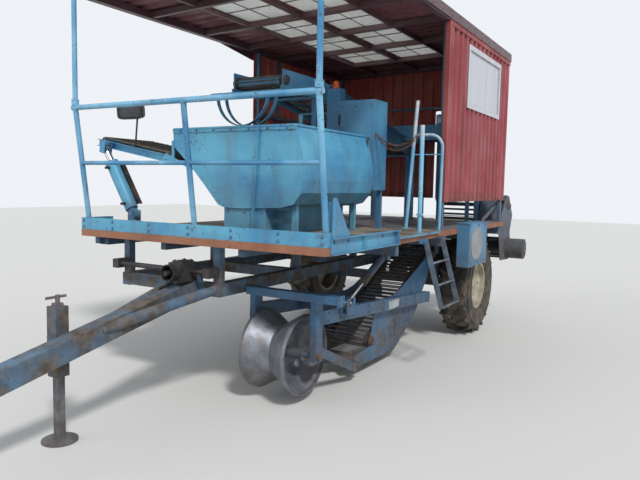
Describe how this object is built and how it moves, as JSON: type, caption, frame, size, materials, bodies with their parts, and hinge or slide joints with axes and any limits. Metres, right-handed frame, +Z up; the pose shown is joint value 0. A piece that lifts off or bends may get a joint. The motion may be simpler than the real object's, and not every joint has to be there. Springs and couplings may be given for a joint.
{
  "type": "towed potato harvester",
  "caption": "Towed side-digging potato harvester with ridge roller, rod webs, covered picking platform, boat-shaped hopper and hinged discharge elevator.",
  "frame": {"origin": "middle of the machine's box on the ground", "axes": "+X to the machine's left, +Y to its rear, +Z up; the drawbar points to -Y"},
  "size_m": [3.0226, 6.777, 3.2542],
  "materials": {
    "blue_paint": "worn light blue paint, semi-gloss",
    "dark_blue_paint": "dull dark blue paint with soil",
    "red_sheet": "weathered red-brown coated sheet",
    "orange_sheet": "orange-red coated sheet in shade",
    "grey_blue_paint": "matte grey-blue paint",
    "timber": "grey worn timber, unsealed",
    "rusty_edge": "rusted brown steel with paint remains",
    "bare_steel": "dull worn steel",
    "web_rubber": "black rubber belts with dull rods",
    "polished_steel": "soil-polished steel",
    "rusty_steel": "rusty brown steel",
    "tyre": "black tyre rubber with dust",
    "cream_paint": "matte cream paint",
    "dark_paint": "dull black paint",
    "rod_chrome": "bright chromed rod",
    "black_plastic": "matte black plastic",
    "clouded_pane": "pale clouded pane in a grey frame",
    "roof_light": "white translucent sheet"
  },
  "bodies": {
    "chassis": {"main_frame": "blue_paint", "drawbar": "blue_paint", "drive_line": "bare_steel", "deck_planks": "timber", "rear_deck": "bare_steel", "kick_board": "blue_paint", "deck_edge": "rusty_edge", "front_railing": "blue_paint", "side_channel": "blue_paint", "entry_rails": "blue_paint", "safety_chain": "rusty_steel", "cabin_posts": "grey_blue_paint", "canopy_frame": "grey_blue_paint", "canopy_roof": "red_sheet", "roof_lights": "roof_light", "left_wall": "red_sheet", "side_window": "clouded_pane", "far_walls": "orange_sheet", "hopper_body": "blue_paint", "hopper_web": "web_rubber", "control_column": "blue_paint", "filling_conveyor": "blue_paint", "filling_web": "web_rubber", "fall_straps": "blue_paint", "picking_table": "blue_paint", "picking_web": "web_rubber", "second_web_frame": "blue_paint", "second_web": "web_rubber", "rear_elevator": "blue_paint", "rear_web": "web_rubber", "wheel_guards": "blue_paint", "haulm_roller": "bare_steel"},
    "wheel_left": {"tyre_left": "tyre", "rim_left": "cream_paint"},
    "wheel_right": {"tyre_right": "tyre", "rim_right": "cream_paint"},
    "digging_unit": {"dig_frame": "dark_blue_paint", "dig_web": "web_rubber", "share": "bare_steel"},
    "ridge_roller_body": {"ridge_roller": "polished_steel"},
    "discharge_elevator": {"elevator_frame": "blue_paint", "elevator_web": "web_rubber", "work_lamp": "black_plastic"},
    "elevator_ram_barrel_body": {"elevator_ram_barrel": "blue_paint", "ram_prop": "dark_paint"},
    "elevator_ram_rod_body": {"elevator_ram_rod": "rod_chrome"},
    "dig_ram_barrel_body": {"dig_ram_barrel": "blue_paint"},
    "dig_ram_rod_body": {"dig_ram_rod": "rod_chrome"},
    "ladder_body": {"ladder": "bare_steel"},
    "jack_leg_body": {"jack_leg": "bare_steel"}
  },
  "joints": [
    {"name": "wheel_left_spin", "type": "hinge", "parent": "chassis", "child": "wheel_left", "pos_m": [1.09054, 1.9785, 0.54], "axis": [1, 0, 0], "continuous": true},
    {"name": "wheel_right_spin", "type": "hinge", "parent": "chassis", "child": "wheel_right", "pos_m": [-0.87946, 1.9785, 0.54], "axis": [1, 0, 0], "continuous": true},
    {"name": "digging_lift", "type": "hinge", "parent": "chassis", "child": "digging_unit", "pos_m": [0.65054, 1.4185, 0.94], "axis": [-1, 0, 0], "range_deg": [0, 5]},
    {"name": "roller_spin", "type": "hinge", "parent": "digging_unit", "child": "ridge_roller_body", "pos_m": [0.65054, -1.1015, 0.372], "axis": [1, 0, 0], "continuous": true},
    {"name": "digging_ram_swing", "type": "hinge", "parent": "chassis", "child": "dig_ram_barrel_body", "pos_m": [0.99554, -0.0915, 1.042], "axis": [-1, 0, 0], "range_deg": [-0.01, 14.89]},
    {"name": "digging_ram_slide", "type": "slide", "parent": "dig_ram_barrel_body", "child": "dig_ram_rod_body", "axis": [0, -0.9015, -0.4327], "range_m": [-0.0536, 0.0001]},
    {"name": "elevator_lift", "type": "hinge", "parent": "chassis", "child": "discharge_elevator", "pos_m": [-0.62946, -0.6995, 1.838], "axis": [0, 1, 0], "range_deg": [-8, 18]},
    {"name": "elevator_ram_swing", "type": "hinge", "parent": "chassis", "child": "elevator_ram_barrel_body", "pos_m": [-0.98446, -1.0815, 1.346], "axis": [0, 1, 0], "range_deg": [-5.14, 11.55]},
    {"name": "elevator_ram_slide", "type": "slide", "parent": "elevator_ram_barrel_body", "child": "elevator_ram_rod_body", "axis": [-0.53, 0, 0.848], "range_m": [-0.0761, 0.1711]},
    {"name": "ladder_fold", "type": "hinge", "parent": "chassis", "child": "ladder_body", "pos_m": [1.32754, 0.236, 1.176], "axis": [0, -1, 0], "range_deg": [0, 155]},
    {"name": "jack_slide", "type": "slide", "parent": "chassis", "child": "jack_leg_body", "axis": [0, 0, 1], "range_m": [0, 0.3]}
  ],
  "couplings": [
    {"joint": "digging_ram_swing", "follows": "digging_lift", "ratio": 2.9754},
    {"joint": "digging_ram_slide", "follows": "digging_lift", "m_per_rad": -0.61276},
    {"joint": "elevator_ram_swing", "follows": "elevator_lift", "ratio": 0.6411},
    {"joint": "elevator_ram_slide", "follows": "elevator_lift", "m_per_rad": 0.54417}
  ]
}
